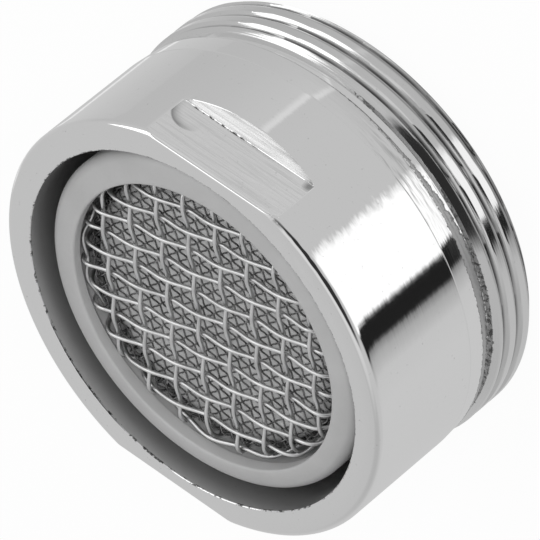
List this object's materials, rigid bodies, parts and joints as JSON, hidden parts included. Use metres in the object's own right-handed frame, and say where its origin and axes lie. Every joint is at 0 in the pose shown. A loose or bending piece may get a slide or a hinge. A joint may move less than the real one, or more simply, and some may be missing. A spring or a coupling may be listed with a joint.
{
  "type": "tap aerator",
  "caption": "Round chrome tap aerator with a male thread, spanner flats and a dished woven wire outlet screen; it mixes air into the water leaving a spout.",
  "frame": {"origin": "centre of the seal's lower face, on the axis, where the part stands on its thread end", "axes": "+Z along the axis out of the outlet, +Y and -Y out of the two spanner flats"},
  "size_m": [0.0239, 0.0238, 0.0122],
  "materials": {
    "plated_brass": "bright chrome plate over turned brass",
    "cup_plastic": "moulded grey-white acetal",
    "coarse_wire": "drawn stainless wire",
    "fine_wire": "drawn stainless wire",
    "gauze_wire": "fine stainless gauze",
    "jet_plastic": "moulded acetal",
    "strainer_plastic": "moulded acetal",
    "seal_rubber": "matt black rubber"
  },
  "bodies": {
    "root": {"sleeve": "plated_brass", "outlet_cup": "cup_plastic", "outlet_screen": "coarse_wire", "fine_screen": "fine_wire", "gauze_screen": "gauze_wire", "jet_plate": "jet_plastic", "strainer": "strainer_plastic", "seal": "seal_rubber"}
  },
  "joints": []
}
